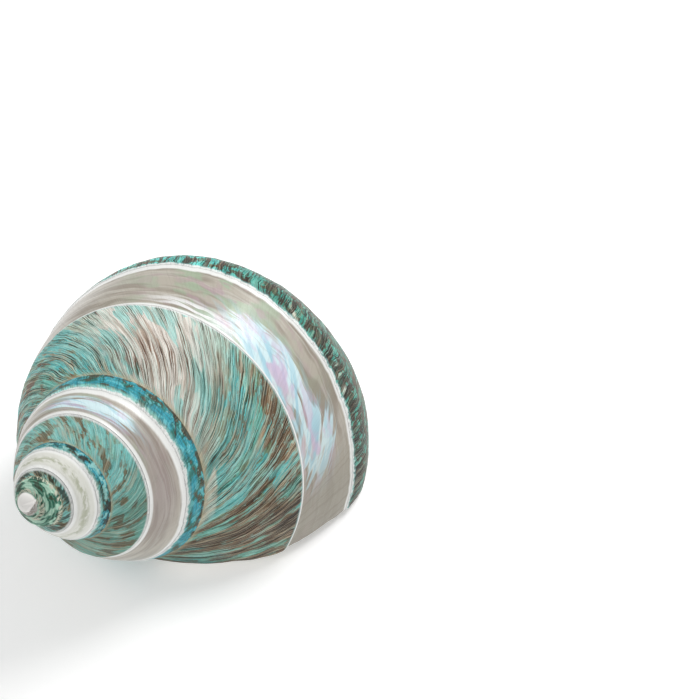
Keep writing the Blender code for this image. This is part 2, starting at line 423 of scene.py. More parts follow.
def hollow_rings_of(angles, turns):
    """Rings of the mouth's oval, carried back into the whorl and shrinking with it."""
    radius = mouth_radius + mouth_half_width * np.cos(angles)
    depth = mouth_depth + mouth_half_height * np.sin(angles)
    back = mouth_recess + hollow_turn * np.arange(hollow_rings + 1)[:, None] / hollow_rings
    return coil(radius, depth, turns - back)


def rest_matrix():
    """Turn from the coil's own frame to the table's."""
    side = Vector(facing(rest_faces, rest_lean))
    laid = side.rotation_difference(Vector((0.0, 0.0, -1.0))).to_matrix()
    return np.array(Matrix.Rotation(table_turn, 3, "Z") @ laid)


def closed(grid):
    """A grid whose last column is its first again."""
    return np.concatenate([grid, grid[:, :1]], axis=1)


def sheet_numbers(rows, own):
    """Point numbers of the spire's grid, whose rows have so many points of their own.

    The lower suture of an older row is the upper suture of the row one whorl younger.
    """
    numbers = np.zeros((rows + 1, own + 1), dtype=int)
    numbers[:, :-1] = np.arange((rows + 1) * own).reshape(rows + 1, own)
    numbers[:rows_per_whorl, -1] = (rows + 1) * own + np.arange(rows_per_whorl)
    numbers[rows_per_whorl:, -1] = numbers[:-rows_per_whorl, 0]
    return numbers


def new_numbers(count, rings, around):
    """Point numbers of further rings, from the first unused number on."""
    return count + np.arange(rings * around).reshape(rings, around)


def outside_pattern(ages, place, points, beyond=0.0):
    """Pattern values of the outside: where a point is, and its mm inside the band and from the axis."""
    across = place_length * grown(ages)
    where = np.stack([grown_length(line_age(ages, place)), place, ages], axis=2)
    past_inner = (place - inner_edge(ages)) * across
    past_outer = (outer_edge(ages) + jag(ages) - place) * across
    from_axis = np.hypot(points[..., 0], points[..., 1]) / MM
    return where, np.stack([past_inner, past_outer, -from_axis - beyond], axis=2)


def mouth_pattern(angles, rings):
    """Pattern values of the mouth's rings: mm and radians around, and steps in, rim_rings to a step."""
    steps = np.broadcast_to((np.arange(rings) / rim_rings)[:, None], (rings, len(angles)))
    around = np.broadcast_to(angles, steps.shape)
    none = np.zeros(steps.shape)
    return np.stack([around * mouth_girth, steps, around], axis=2), np.stack([none, none, steps], axis=2)


def tip_pattern(points):
    """Pattern values of the cap over the first whorl."""
    from_axis = np.hypot(points[..., 0], points[..., 1]) / MM
    none = np.zeros(from_axis.shape)
    where = np.broadcast_to(np.array(cap_where), from_axis.shape + (3,))
    return where, np.stack([none, none, -from_axis], axis=-1)


def fan(ring, tip):
    """Triangles from a closed ring to the point in its middle."""
    return np.stack([ring[1:], ring[:-1], np.full(len(ring) - 1, tip)], axis=1)


def build_surface():
    """Points, quads, triangles and the corners' pattern values of the whole closed shell.

    The pattern values are where: (length of growth in mm, place, age), and edge: (mm inside
    the band from its inner edge, the same from its outer edge, steps into the mouth or,
    outside it, minus the mm from the axis, with base_beyond more on the base).
    """
    step = (TURN + float(slant(1.0)) - float(slant(0.0))) / rows_per_whorl
    age = -step * np.arange(int(whorls * rows_per_whorl) + 1)
    spire_at = spire_places(age)
    spire_ages = np.broadcast_to(age[:, None], spire_at.shape)
    spire_points = outside_point(spire_ages, spire_at)
    spire = sheet_numbers(len(age) - 1, spire_at.shape[1] - 1)
    points = [spire_points[:, :-1].reshape(-1, 3), spire_points[:rows_per_whorl, -1]]
    count = len(points[0]) + rows_per_whorl

    base_age = age[:rows_per_whorl + 1]
    base_at = base_places(base_age)
    base_ages = np.broadcast_to(base_age[:, None], base_at.shape)
    base_points = outside_point(base_ages, base_at)
    base = new_numbers(count, rows_per_whorl + 1, base_columns)
    base = np.concatenate([spire[:rows_per_whorl + 1, -1:], base], axis=1)
    points = np.concatenate(points + [base_points[:, 1:].reshape(-1, 3)])

    loop = np.concatenate([spire[0], base[0, 1:], base[1:, -1], base[-1, -2:0:-1]])
    lip_places = np.concatenate([spire_at[0], base_at[0, 1:]])
    angles, turns = mouth_around(lip_places, base_at[-1, -2:0:-1], slant(lip_places))
    inside = hollow_rings_of(angles, turns)
    rings = np.concatenate([rim_rings_of(points[loop], inside[0], angles), inside])
    ring_numbers = new_numbers(len(points), len(rings), len(loop))
    ring_numbers = closed(np.concatenate([loop[None], ring_numbers]))

    opening = np.concatenate([spire[-1, :0:-1], spire[:-rows_per_whorl - 1:-1, 0]])
    edge = points[opening]
    middle = edge.mean(axis=0)
    share = (1.0 - np.arange(1, cap_rings) / cap_rings)[:, None, None]
    rise = cap_height * np.sqrt(1.0 - share ** 2) * np.array([0.0, 0.0, 1.0])
    cap = middle + (edge - middle) * share + rise
    points = np.concatenate([points, rings.reshape(-1, 3)])
    cap_numbers = new_numbers(len(points), cap_rings - 1, len(opening))
    cap_numbers = closed(np.concatenate([opening[None], cap_numbers]))
    tips = np.stack([inside[-1].mean(axis=0), middle + np.array([0.0, 0.0, cap_height])])
    points = np.concatenate([points, cap.reshape(-1, 3), tips])

    quads = np.concatenate([corners(spire), corners(base), corners(ring_numbers, flip=True),
                            corners(cap_numbers, flip=True)]).reshape(-1, 4)
    deep_fan = fan(ring_numbers[-1], len(points) - 2)
    cap_fan = fan(cap_numbers[-1], len(points) - 1)
    patterns = [outside_pattern(spire_ages, spire_at, spire_points),
                outside_pattern(base_ages, base_at, base_points, base_beyond),
                mouth_pattern(np.append(angles, angles[0] + TURN), len(ring_numbers)),
                tip_pattern(points[cap_numbers])]
    flips = (False, False, True, True)
    where = [corners(pattern[0], flip) for pattern, flip in zip(patterns, flips)]
    edges = [corners(pattern[1], flip) for pattern, flip in zip(patterns, flips)]
    where.append(np.tile([0.0, deepest_step, 0.0], (deep_fan.size, 1)))
    edges.append(np.tile([0.0, 0.0, deepest_step], (deep_fan.size, 1)))
    tip_where, tip_edge = tip_pattern(points[-1])
    where.append(np.tile(tip_where, (cap_fan.size, 1)))
    edges.append(np.tile(tip_edge, (cap_fan.size, 1)))
    return points, quads, np.concatenate([deep_fan, cap_fan]), np.concatenate(where), np.concatenate(edges)


def build_shell(material):
    """The shell as one mesh, laid on the table, with its pattern values on the face corners."""
    points, quads, triangles, where, edges = build_surface()
    placed = points @ rest_matrix().T + origin_shift
    mesh = bpy.data.meshes.new("turban_shell")
    mesh.from_pydata(placed.tolist(), [], quads.tolist() + triangles.tolist())
    for label, values in (("where", where), ("edge", edges)):
        attribute = mesh.attributes.new(label, "FLOAT_VECTOR", "CORNER")
        attribute.data.foreach_set("vector", values.astype(np.float32).ravel())
    mesh.shade_smooth()
    mesh.update()
    shell = bpy.data.objects.new("turban_shell", mesh)
    bpy.context.scene.collection.objects.link(shell)
    mesh.materials.append(material)
    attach(shell, "root")
    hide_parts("shell")
    return shell


def tone(red, green, blue):
    """Linear colour of a shade given in 0 to 255: ((c + 0.055) / 1.055)^2.4."""
    levels = [c / 255.0 for c in (red, green, blue)]
    return [((c + 0.055) / 1.055) ** 2.4 if c > 0.04045 else c / 12.92 for c in levels]


# Colours by what they are on the shell
shade = SimpleNamespace(
    # The green layer: patches, spots of the second whorl, growth lines
    teal=tone(112, 202, 186),
    sage=tone(136, 156, 120),
    brown=tone(118, 84, 54),
    turquoise=tone(92, 204, 204),
    khaki=tone(112, 96, 62),
    mint=tone(164, 236, 224),
    cream=tone(252, 244, 234),
    pale_mint=tone(180, 236, 228),
    rust=tone(196, 150, 120),
    umber=tone(78, 66, 52),
    foam=tone(182, 240, 228),
    spot_brown=tone(126, 100, 58),
    spot_blue=tone(148, 230, 226),
    mint_line=tone(190, 236, 224),
    cream_line=tone(252, 247, 238),
    tan_line=tone(222, 192, 156),
    green_ink=tone(92, 108, 96),
    brown_ink=tone(128, 90, 58),
    rust_ink=tone(150, 106, 78),
    bar=tone(138, 146, 128),
    # Partly painted shade in the growth grooves
    groove=tone(50, 46, 34),

    # The strip below the band, on the last whorl and on the second
    strip_teal=tone(82, 214, 206),
    strip_green=tone(88, 112, 84),
    strip_brown=tone(96, 62, 38),
    strip_spot=tone(112, 236, 224),
    blue=tone(50, 166, 184),
    blue_green=tone(40, 124, 116),
    light_blue=tone(118, 214, 222),
    blue_brown=tone(84, 70, 46),
    thread=tone(34, 84, 84),
    bead=tone(190, 224, 210),

    # Marks, and the colours that darken the ends of whorls, with painted shade on the strip and the second
    # whorl
    late_dim=tone(188, 172, 152),
    # Painted shade: darkens the last whorl's strip towards the lip
    strip_painted_shade=tone(160, 182, 170),
    # Painted shade: darkens the second whorl towards its younger end
    second_painted_shade=tone(186, 190, 176),
    scar=tone(222, 224, 208),
    stop=tone(244, 244, 228),
    ochre=tone(200, 154, 110),
    crack=tone(62, 46, 34),
    seam=tone(200, 184, 148),

    # The base, and the early whorls up to the tip
    dash=tone(96, 66, 44),
    axis_cream=tone(206, 198, 160),
    early_dark=tone(40, 34, 24),
    early_ice=tone(170, 228, 222),
    early_olive=tone(44, 44, 28),
    first_green=tone(36, 112, 88),
    # Partly painted gloss highlight on the first whorls' cords
    first_light=tone(206, 246, 222),
    first_cord_highlight=tone(150, 210, 182),
    first_dark=tone(56, 62, 40),
    first_worn=tone(232, 234, 212),
    tip=tone(238, 236, 232),
    tip_stain=tone(196, 184, 170),

    # The band: its edges, the nacre and the light on it
    halo=tone(150, 214, 212),
    chalk=tone(242, 243, 240),
    nacre_dark=tone(152, 143, 130),
    nacre=tone(180, 173, 160),
    nacre_light=tone(206, 204, 194),
    nacre_green=tone(158, 182, 152),
    nacre_mauve=tone(178, 152, 158),
    nacre_plain=tone(158, 154, 140),
    nacre_line=tone(128, 120, 106),
    nacre_second=tone(160, 144, 144),
    nacre_early=tone(238, 240, 232),
    nacre_olive=tone(136, 144, 98),
    # Painted shade: darkens the nacre towards the lip
    nacre_painted_shade=tone(226, 222, 218),
    # Painted highlight on the band, with blue and pink tints in it
    sheen=tone(214, 238, 242),
    sheen_blue=tone(156, 206, 224),
    sheen_pink=tone(212, 186, 216),
    rose=tone(206, 184, 182),
    # Painted highlight: a white streak near the band's inner edge
    white=tone(244, 244, 244),

    # The lip and the hollow
    lip_cream=tone(236, 232, 222),
    lip_grey=tone(206, 204, 196),
    lip_green=tone(204, 212, 190),
    lip_speck=tone(120, 96, 72))


class Value:
    """A socket of a shader tree that can be added, multiplied and compared like a number."""

    def __init__(self, graph, socket):
        self.graph = graph
        self.socket = socket

    def math(self, operation, *others):
        """Outcome of one math node on the others, which may be numbers."""
        node = self.graph.tree.nodes.new("ShaderNodeMath")
        node.operation = operation
        for place, other in enumerate(others):
            self.graph.put(other, node.inputs[place])
        return Value(self.graph, node.outputs[0])

    def __add__(self, other):
        return self.math("ADD", self, other)

    def __sub__(self, other):
        return self.math("SUBTRACT", self, other)

    def __mul__(self, other):
        return self.math("MULTIPLY", self, other)

    def __truediv__(self, other):
        return self.math("DIVIDE", self, other)

    def __radd__(self, other):
        return self.math("ADD", other, self)

    def __rsub__(self, other):
        return self.math("SUBTRACT", other, self)

    def __rmul__(self, other):
        return self.math("MULTIPLY", other, self)

    def most(self, other):
        return self.math("MAXIMUM", self, other)

    def least(self, other):
        return self.math("MINIMUM", self, other)

    def size(self):
        """The value without its sign."""
        return self.math("ABSOLUTE", self)

    def cosine(self):
        return self.math("COSINE", self)

    def root(self):
        return self.math("SQRT", self)


class Graph:
    """A material's shader tree, built with expressions."""

    def __init__(self, name):
        self.material = bpy.data.materials.new(name)
        self.material.use_nodes = True
        self.tree = self.material.node_tree
        self.shader = self.tree.nodes["Principled BSDF"]

    def put(self, value, socket):
        """Feed a socket with a value, a colour or a number."""
        if isinstance(value, Value):
            self.tree.links.new(value.socket, socket)
        elif isinstance(value, (list, tuple)) and len(socket.default_value) == 4:
            socket.default_value = (*value, 1.0)
        else:
            socket.default_value = value

    def node(self, kind, settings, values, output=0):
        """One of the outputs of a new node with these settings and inputs."""
        node = self.tree.nodes.new(kind)
        for key, setting in settings.items():
            setattr(node, key, setting)
        for key, value in values.items():
            self.put(value, node.inputs[key])
        return Value(self, node.outputs[output])

    def corner_values(self, label):
        """The three numbers that the mesh's corners hold under a label."""
        vector = self.node("ShaderNodeAttribute", {"attribute_name": label}, {}, "Vector")
        node = self.tree.nodes.new("ShaderNodeSeparateXYZ")
        self.put(vector, node.inputs[0])
        return [Value(self, output) for output in node.outputs]

    def noise(self, x, y, z, detail=2.0, roughness=0.5):
        """Smooth noise about 0.5 over cells one unit across; z sets it apart from the others."""
        spot = self.node("ShaderNodeCombineXYZ", {}, {0: x, 1: y, 2: z})
        values = {"Vector": spot, "Scale": 1.0, "Detail": detail, "Roughness": roughness}
        return self.node("ShaderNodeTexNoise", {}, values)

    def ease(self, value, low, high, start=0.0, end=1.0):
        """start below low, end above high, smooth between."""
        values = {0: value, 1: low, 2: high, 3: start, 4: end}
        return self.node("ShaderNodeMapRange", {"interpolation_type": "SMOOTHSTEP"}, values)

    def mix(self, factor, first, second, blend="MIX"):
        """first where the factor is 0, second where it is 1; or first times second there."""
        settings = {"data_type": "RGBA", "clamp_factor": True, "blend_type": blend}
        return self.node("ShaderNodeMix", settings, {0: factor, 6: first, 7: second}, 2)

    def hump(self, value, middle, width):
        """Round bump of height 1 that reaches 0 at the width: smooth step of 1 - |v - m| / w."""
        return self.ease((value - middle).size(), 0.0, width, 1.0, 0.0)

    def patch(self, age, place, middle, width):
        """Product of two humps, one in age and one in place."""
        return self.hump(age, middle[0], width[0]) * self.hump(place, middle[1], width[1])

    def patches(self, age, place, spots):
        """Strongest of several patches, each with its age, place, two half widths and strength."""
        field = 0.0
        for at_age, at_place, wide_age, wide_place, strength in spots:
            spot = self.patch(age, place, (at_age, at_place), (wide_age, wide_place)) * strength
            field = spot.most(field)
        return field


def shell_material():
    """Green shell with growth lines, worn through to pearl along the band and inside the mouth."""
    g = Graph("turban_shell")
    at = g.corner_values("where")
    past_inner, past_outer, into_mouth = g.corner_values("edge")
    line = line_fields(g, at)
    green, height = green_layer(g, at, line)
    pearl = pearl_layer(g, at, line.flow)
    in_band, chalk, halo = band_edges(g, at, past_inner, past_outer)
    mouth = g.ease(into_mouth, 0.0, 0.12)

    colour = g.mix(in_band, g.mix(halo * 0.6, green, shade.halo), pearl)
    colour = g.mix(chalk * 0.95, colour, shade.chalk)
    colour = g.mix(mouth, colour, inside_layer(g, at, into_mouth))
    colour = worn_tip(g, at, into_mouth, colour)
    g.put(colour, g.shader.inputs["Base Color"])

    length, place, _ = at
    polished = in_band.most(mouth)
    brushed = g.noise(length * 0.10, place * 60.0, 85.0)
    g.put(0.36 + 0.18 * line.fine - polished * (0.20 - 0.20 * brushed), g.shader.inputs["Roughness"])
    g.put(0.05 + polished * (0.65 - 0.6 * brushed), g.shader.inputs["Coat Weight"])
    g.shader.inputs["Coat Roughness"].default_value = 0.18
    g.shader.inputs["Specular IOR Level"].default_value = 0.35
    height = height * (1.0 - polished * 0.90)
    bump = g.node("ShaderNodeBump", {}, {"Strength": 0.9, "Distance": 0.6 * MM, "Height": height})
    g.put(bump, g.shader.inputs["Normal"])
    return g.material


def band_edges(g, at, past_inner, past_outer):
    """Where the pearl shows, the chalky lines along its edges, and the green's pale rim beside them."""
    length, _, age = at
    banded = g.ease(age, *band_starts)
    frayed = g.noise(length * 0.9, past_outer * 1.2, 15.0, 4.0, 0.7) - 0.5
    in_band = g.ease(past_inner, -0.10, 0.02) * g.ease(past_outer + frayed * 0.4, -0.06, 0.06) * banded
    inner_width = 0.22 + 0.25 * g.ease(age, *second_whorl_from) + 0.25 * g.hump(age, -1.9, 0.8)
    outer_width = 0.30 + g.hump(age, -2.6, 1.9) * 0.75 + g.hump(age, -7.4, 2.4) * 0.55
    off_inner = (past_inner - 0.06).size()
    inner_line = g.ease(off_inner / inner_width, 1.25, 0.65)
    outside = g.ease(past_outer + frayed * 1.6, -0.55, -0.25)
    outer_line = outside * g.ease(past_outer - outer_width, -0.1, 0.35, 1.0, 0.0)
    halo = g.ease(past_outer + frayed * 1.6, -0.95, -0.30).least(g.ease(past_inner, -0.55, 0.0)) * banded
    return in_band, inner_line.most(outer_line) * banded, halo


def worn_tip(g, at, into_mouth, colour):
    """The tip's first turn, worn to white with a brownish side."""
    length, place, _ = at
    tip = g.ease(into_mouth + g.noise(length * 2.0, place * 4.0, 83.0) * 0.3, -1.45, -1.32)
    tip = tip * g.ease(into_mouth, -0.02, -0.05)
    stained = g.ease(g.noise(length * 3.0, place * 6.0, 81.0), 0.4, 0.65)
    return g.mix(tip, colour, g.mix(stained, shade.tip, shade.tip_stain))


def line_fields(g, at):
    """Noise drawn out along the growth lines, from wide zones to hairs.

    flow is the way across the lines in mm, 2 sqrt(size) full_length, which packs them closer
    on small whorls, and it sways by three sizes of noise.
    """
    length, place, _ = at
    size = length / full_length
    sway = g.noise(length * 0.12, place * 3.5, 2.0) * 2.4 + g.noise(length * 0.28, place * 9.0, 4.0) * 1.3
    sway = sway + g.noise(length * 0.9, place * 26.0, 6.0) * 0.45
    flow = (size.root() * 2.0) * full_length + sway * size.root()
    return SimpleNamespace(
        flow=flow,
        zone=g.noise(flow * 0.10, place * 4.0, 9.0),
        vivid=g.noise(flow * 0.19, place * 3.6, 17.0, 3.0, 0.6),
        streak=g.noise(flow * 0.30, place * 2.6, 101.0, 2.0, 0.6),
        mid=g.noise(flow * 0.85, place * 3.0, 106.0, 2.0, 0.5),
        fine=g.noise(flow * 3.0, place * 2.8, 103.0, 3.0, 0.5),
        hair=g.noise(flow * 6.5, place * 7.0, 104.0, 1.0),
        ragged=g.noise(flow * 0.9, place * 14.0, 111.0, 3.0, 0.7),
        lined=g.ease(g.noise(flow * 0.22, place * 4.5, 109.0, 2.0, 0.6), 0.42, 0.56))


def parts_of_shell(g, at):
    """Soft masks of the whorls and of the listed patches."""
    _, place, age = at
    strip = g.ease(place, 0.74, 0.84)
    body = g.ease(age, *body_from)
    late = g.ease(age, -0.75, -0.35) * (1.0 - strip)
    return SimpleNamespace(
        strip=strip,
        body=body,
        body_strip=strip * body,
        second=(1.0 - body) * (1.0 - strip),
        late=late,
        pale=(g.hump(age, -2.10, 0.95) * 1.35).least(1.0) * (1.0 - strip),
        cream=g.patches(age, place, cream_patches),
        dark=g.patches(age, place, dark_patches).most(late * 0.9),
        teal=g.patches(age, place, teal_patches))


def green_layer(g, at, line):
    """Colour and bump height of the outer layer: teal with brown, cream and dark growth lines."""
    part = parts_of_shell(g, at)
    colour = patch_colour(g, line, part)
    colour = second_whorl_spots(g, at, part, colour)
    colour = strip_colour(g, at, colour)
    colour = marks(g, at, line, part, colour)
    colour = drawn_lines(g, at, line, part, colour)
    colour = base_colour(g, at, line, colour)
    colour = first_whorls(g, at, line, part, colour)
    dark_lines = g.ease(line.fine, *dark_line_cut)
    height = line.mid * -0.5 - line.fine * 0.4 - line.hair * 0.2 - dark_lines * 0.2 * line.lined
    return colour, height


def patch_colour(g, line, part):
    """Patches some mm wide: teal, sage, brown, turquoise, and cream with rust where the shell is pale."""
    colour = g.mix(g.ease(line.zone, 0.47, 0.53), shade.teal, shade.sage)
    browned = line.streak * 0.6 + line.zone * 0.4 + 0.11 * part.dark - 0.07 * part.teal - 0.12 * part.pale
    colour = g.mix(g.ease(browned, 0.51, 0.535) * 0.95, colour, shade.brown)
    bright = g.ease(line.vivid + 0.12 * part.teal - 0.04 * part.dark, 0.53, 0.56)
    colour = g.mix(bright * (0.95 - 0.5 * part.cream), colour, shade.turquoise)
    colour = g.mix(g.ease(line.ragged, 0.55, 0.59) * (0.8 - 0.6 * part.pale), colour, shade.khaki)
    colour = g.mix(g.ease(line.ragged, 0.45, 0.40) * 0.7, colour, shade.mint)
    faded = g.mix(g.ease(line.vivid - 0.05 * part.cream, 0.49, 0.53), shade.cream, shade.pale_mint)
    colour = g.mix(part.pale * (1.0 - 0.25 * g.ease(line.streak, 0.5, 0.56)), colour, faded)
    rusty = g.ease(line.streak * 0.4 + line.mid * 0.6, 0.52, 0.55)
    colour = g.mix(part.cream * rusty * 0.65, colour, shade.rust)
    dusk = g.ease(line.streak * 0.5 + line.mid * 0.5 + 0.09 * part.dark, 0.57, 0.61)
    return g.mix(dusk * (0.5 + 0.4 * part.dark), colour, shade.umber)


def second_whorl_spots(g, at, part, colour):
    """The second whorl's shoulder: lighter, with brown and pale blue spots."""
    length, place, _ = at
    colour = g.mix(part.second * 0.35, colour, shade.foam)
    spotted = g.noise(length * 0.35, place * 6.0, 107.0, 4.0, 0.6)
    colour = g.mix(part.second * g.ease(spotted, 0.53, 0.57) * 0.85, colour, shade.spot_brown)
    return g.mix(part.second * g.ease(spotted, 0.48, 0.43) * 0.7, colour, shade.spot_blue)


def strip_colour(g, at, colour):
    """The strip between the band and the suture below: teal and brown, and blue on the second whorl."""
    length, place, age = at
    strip = g.ease(place, 0.76, 0.82) * g.ease(place, 1.25, 1.0)
    second = g.ease(age, *second_whorl_from)
    late = g.ease(age, -1.3, -0.5)
    patches = g.noise(length * (0.22 + 0.1 * second), place * 9.0, 25.0, 2.0, 0.6)
    bars = g.noise(length * (0.9 - 0.2 * second), place * (3.0 + 11.0 * second), 21.0, 2.0)

    body = g.mix(g.ease(patches + 0.05 * late, 0.49, 0.53), shade.strip_teal, shade.strip_green)
    body = g.mix(g.ease(bars + 0.06 * late, 0.51, 0.55) * 0.9, body, shade.strip_brown)
    spots = g.ease(g.noise(length * 0.6, place * 14.0, 28.0, 2.0, 0.6), 0.54, 0.58)
    body = g.mix(spots * 0.9, body, shade.strip_spot)

    blue = g.mix(g.ease(patches, 0.44, 0.56), shade.blue, shade.blue_green)
    blue = g.mix(g.ease(bars, 0.44, 0.38) * 0.6, blue, shade.light_blue)
    brown = g.ease(patches * 0.5 + bars * 0.5 + 0.08 * g.ease(place, 0.90, 1.0), 0.555, 0.59)
    blue = g.mix(brown * 0.85, blue, shade.blue_brown)
    threads = g.ease((place * TURN * 26.0).cosine() + bars * 2.0, 1.7, 2.0)
    blue = g.mix(threads * 0.5, blue, shade.thread)
    beads = g.hump(place, 0.925, 0.008) * g.ease(g.noise(length * 3.0, 0.0, 27.0), 0.52, 0.60)
    blue = g.mix(beads * 0.8, blue, shade.bead)
    return g.mix(strip, colour, g.mix(second, body, blue))


def marks(g, at, line, part, colour):
    """Darker ends of the whorls, with painted shade on the strip and the second whorl; old scars, the cream
    stop of growth at the suture, an ochre streak.
    """
    _, place, age = at
    colour = g.mix(part.late * 0.55, colour, shade.late_dim, "MULTIPLY")
    # Painted shade: the last whorl's strip darker towards the lip
    colour = g.mix(part.body_strip * g.ease(age, -1.8, -1.3), colour, shade.strip_painted_shade, "MULTIPLY")
    curved_scar = g.patch(age + 0.8 * (place - 0.9), place, (-1.12, 0.92), (0.035, 0.07))
    scars = g.patches(age, place, scar_patches).most(curved_scar)
    colour = g.mix(scars * g.ease(line.mid, 0.44, 0.52), colour, shade.scar)
    stop = g.ease(place, 0.066, 0.052) * g.ease(age, -1.28, -1.24) * g.ease(age, -0.70, -0.95)
    colour = g.mix(stop * 0.9, colour, shade.stop)
    ochre = g.patch(age + 0.5 * (place - 0.33), place, (-0.99, 0.33), (0.045, 0.14))
    colour = g.mix(ochre * 0.8, colour, shade.ochre)
    # Painted shade: the second whorl darker towards its younger end
    return g.mix(g.ease(age, -7.7, -6.9) * part.second * 0.9, colour, shade.second_painted_shade, "MULTIPLY")


def drawn_lines(g, at, line, part, colour):
    """Growth lines: soft bars, fine dark lines with light rims, partly painted shade and highlight of their
    relief, hairs, and two cracks.
    """
    _, place, age = at
    calm = (1.0 - (1.0 - part.body) * (0.60 + 0.15 * part.strip)) * (0.42 + 0.50 * line.lined)
    soft = calm * (1.0 - 0.5 * part.pale)
    warm = g.ease(line.streak + 0.07 * part.dark, 0.46, 0.52)
    light = g.mix(part.cream, shade.mint_line, shade.cream_line)
    light = g.mix(warm * (1.0 - part.pale) * 0.8, light, shade.tan_line)
    ink = g.mix(part.cream, g.mix(warm, shade.green_ink, shade.brown_ink), shade.rust_ink)

    colour = g.mix(g.ease(line.mid, 0.54, 0.58) * 0.5 * soft, colour, shade.bar, "MULTIPLY")
    light_bars = g.ease(line.mid, 0.46, 0.42) * (0.35 - 0.15 * part.dark - 0.35 * part.strip)
    colour = g.mix(light_bars, colour, light)
    # Dark lines: partly the growth lines' own brown, partly painted shade in their grooves
    dark_lines = g.ease(line.fine, *dark_line_cut)
    colour = g.mix(dark_lines * (calm * 0.7 + soft * 0.3), colour, ink, "MULTIPLY")
    # Light rims: partly pale growth lines, partly painted highlight on the ridge beside each dark line
    rims = g.ease(line.fine, 0.460, 0.430)
    rims = rims * (0.75 + 0.2 * part.pale - 0.3 * part.dark - 0.55 * part.strip) * calm
    colour = g.mix(rims, colour, light)
    # Very dark lines on the strip: partly the lines' own colour, partly painted shade in the grooves
    colour = g.mix(part.body_strip * g.ease(line.fine, 0.53, 0.57) * 0.65, colour, shade.groove)
    colour = g.mix(g.ease(line.hair, 0.55, 0.585) * calm, colour, ink, "MULTIPLY")
    colour = g.mix(g.ease(line.hair, 0.44, 0.41) * (0.5 - 0.4 * part.strip) * calm, colour, light)

    notch = g.patch(age + 1.2 * (place - notch_place), place, (-1.70, notch_place), (0.020, 0.040))
    crack = g.hump(age + 0.8 * (place - 0.9), crack_age, 0.022) * g.ease(place, 0.80, 0.84)
    return g.mix(notch.most(crack) * 0.85, colour, shade.crack)


def base_colour(g, at, line, colour):
    """Rows of brown dashes on the base, which pales to cream beside the axis."""
    _, place, _ = at
    rows = (place * TURN * 11.0).cosine()
    dashes = g.ease(g.noise(line.flow * 0.7, place * 11.0, 31.0, 1.0) + 0.08 * rows, 0.54, 0.60)
    colour = g.mix(g.ease(place, 1.02, 1.12) * dashes * 0.75, colour, shade.dash)
    return g.mix(g.ease(place, 1.55, 1.85) * (0.6 + 0.4 * line.fine), colour, shade.axis_cream)


def first_whorls(g, at, line, part, colour):
    """Dark and pale blotches of the early whorls, the green first whorls with painted gloss highlight along
    their cords, and the suture's cream seam.
    """
    length, place, age = at
    early = g.ease(age, -11.5, -12.5)
    blotch = g.noise(length * 0.7, place * 6.0, 41.0, 3.0, 0.6)
    colour = g.mix(part.strip * early * g.ease(blotch, 0.52, 0.56) * 0.9, colour, shade.early_dark)
    colour = g.mix(part.strip * early * g.ease(blotch, 0.47, 0.42) * 0.7, colour, shade.early_ice)
    by_suture = g.ease(place, 0.22, 0.16) * early
    by_suture = by_suture * g.ease(g.noise(length * 1.6, place * 6.0, 43.0), 0.47, 0.53)
    colour = g.mix(by_suture * 0.8, colour, shade.early_olive)

    # Pale blotches, partly painted gloss highlight, and pale lines along the cords, painted gloss highlight
    swaying = g.noise(length * 1.5, place * 3.0, 47.0) * 3.0
    cord_highlights = g.ease((place * TURN * 6.0).cosine() + swaying, 1.3, 1.8)
    broken = g.noise(length * 0.45, place * 2.6, 48.0, 2.0, 0.5)
    first = g.mix(g.ease(broken, 0.50, 0.44), shade.first_green, shade.first_light)
    first = g.mix(cord_highlights * 0.45, first, shade.first_cord_highlight)
    first = g.mix(g.ease(broken, 0.57, 0.60) * 0.8, first, shade.first_dark)
    worn_edge = g.ease(place, 0.24, 0.14).most(g.ease(place, 0.76, 0.86))
    first = g.mix(worn_edge * g.ease(line.mid, 0.45, 0.55), first, shade.first_worn)
    colour = g.mix(g.ease(age, -16.2, -17.2) * 0.95, colour, first)

    seam = g.hump(place, 0.0, 0.03).most(g.hump(place, 1.0, 0.014) * g.ease(age, -6.0, -6.2))
    return g.mix(seam * (0.2 + 0.8 * g.noise(length * 2.0, 0.0, 45.0)), colour, shade.seam)


